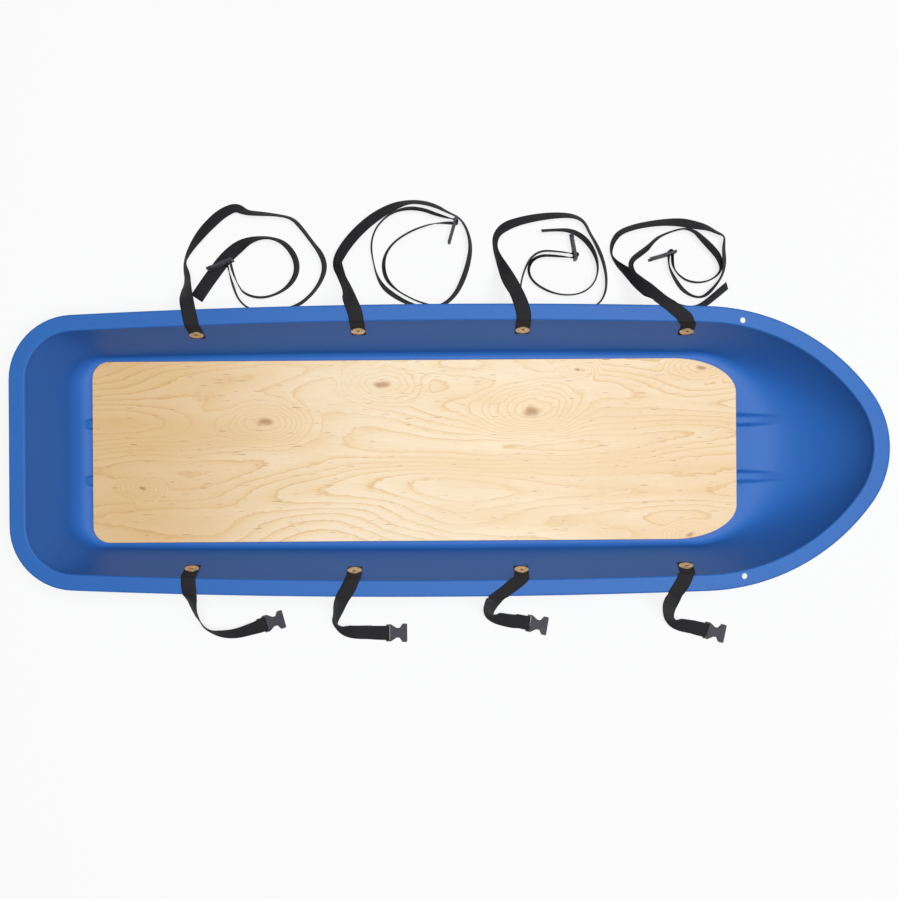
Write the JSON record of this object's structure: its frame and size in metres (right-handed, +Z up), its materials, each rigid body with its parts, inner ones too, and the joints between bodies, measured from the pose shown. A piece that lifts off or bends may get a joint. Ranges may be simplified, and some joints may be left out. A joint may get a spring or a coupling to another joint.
{
  "type": "pulk",
  "caption": "Long open moulded pulk tub with a pointed bow, rolled rim and runners, a loose plywood deck and buckled webbing load straps.",
  "frame": {"origin": "centre of the hull's box, on the underside of the runners", "axes": "+X to the bow, +Y to port where the long straps are, +Z up"},
  "size_m": [1.524, 0.8153, 0.1539],
  "materials": {
    "tub_plastic": "satin",
    "plywood": "sanded, unfinished",
    "webbing": "woven",
    "buckle_plastic": "fine matt",
    "brass_washer": "satin",
    "rivet_metal": "satin"
  },
  "bodies": {
    "tub": {"hull": "tub_plastic", "washer_port_1": "brass_washer", "washer_port_2": "brass_washer", "washer_port_3": "brass_washer", "washer_port_4": "brass_washer", "washer_starboard_1": "brass_washer", "washer_starboard_2": "brass_washer", "washer_starboard_3": "brass_washer", "washer_starboard_4": "brass_washer", "rivet_port_1": "rivet_metal", "rivet_port_2": "rivet_metal", "rivet_port_3": "rivet_metal", "rivet_port_4": "rivet_metal", "rivet_starboard_1": "rivet_metal", "rivet_starboard_2": "rivet_metal", "rivet_starboard_3": "rivet_metal", "rivet_starboard_4": "rivet_metal", "long_strap_1": "webbing", "long_strap_2": "webbing", "long_strap_3": "webbing", "long_strap_4": "webbing", "short_strap_1": "webbing", "short_strap_2": "webbing", "short_strap_3": "webbing", "short_strap_4": "webbing", "male_buckle_1": "buckle_plastic", "male_buckle_2": "buckle_plastic", "male_buckle_3": "buckle_plastic", "male_buckle_4": "buckle_plastic", "female_buckle_1": "buckle_plastic", "female_buckle_2": "buckle_plastic", "female_buckle_3": "buckle_plastic", "female_buckle_4": "buckle_plastic"},
    "deck": {"deck": "plywood"}
  },
  "joints": [
    {"name": "deck_lift", "type": "slide", "parent": "tub", "child": "deck", "axis": [0, 0, 1], "range_m": [0, 0.15]}
  ]
}
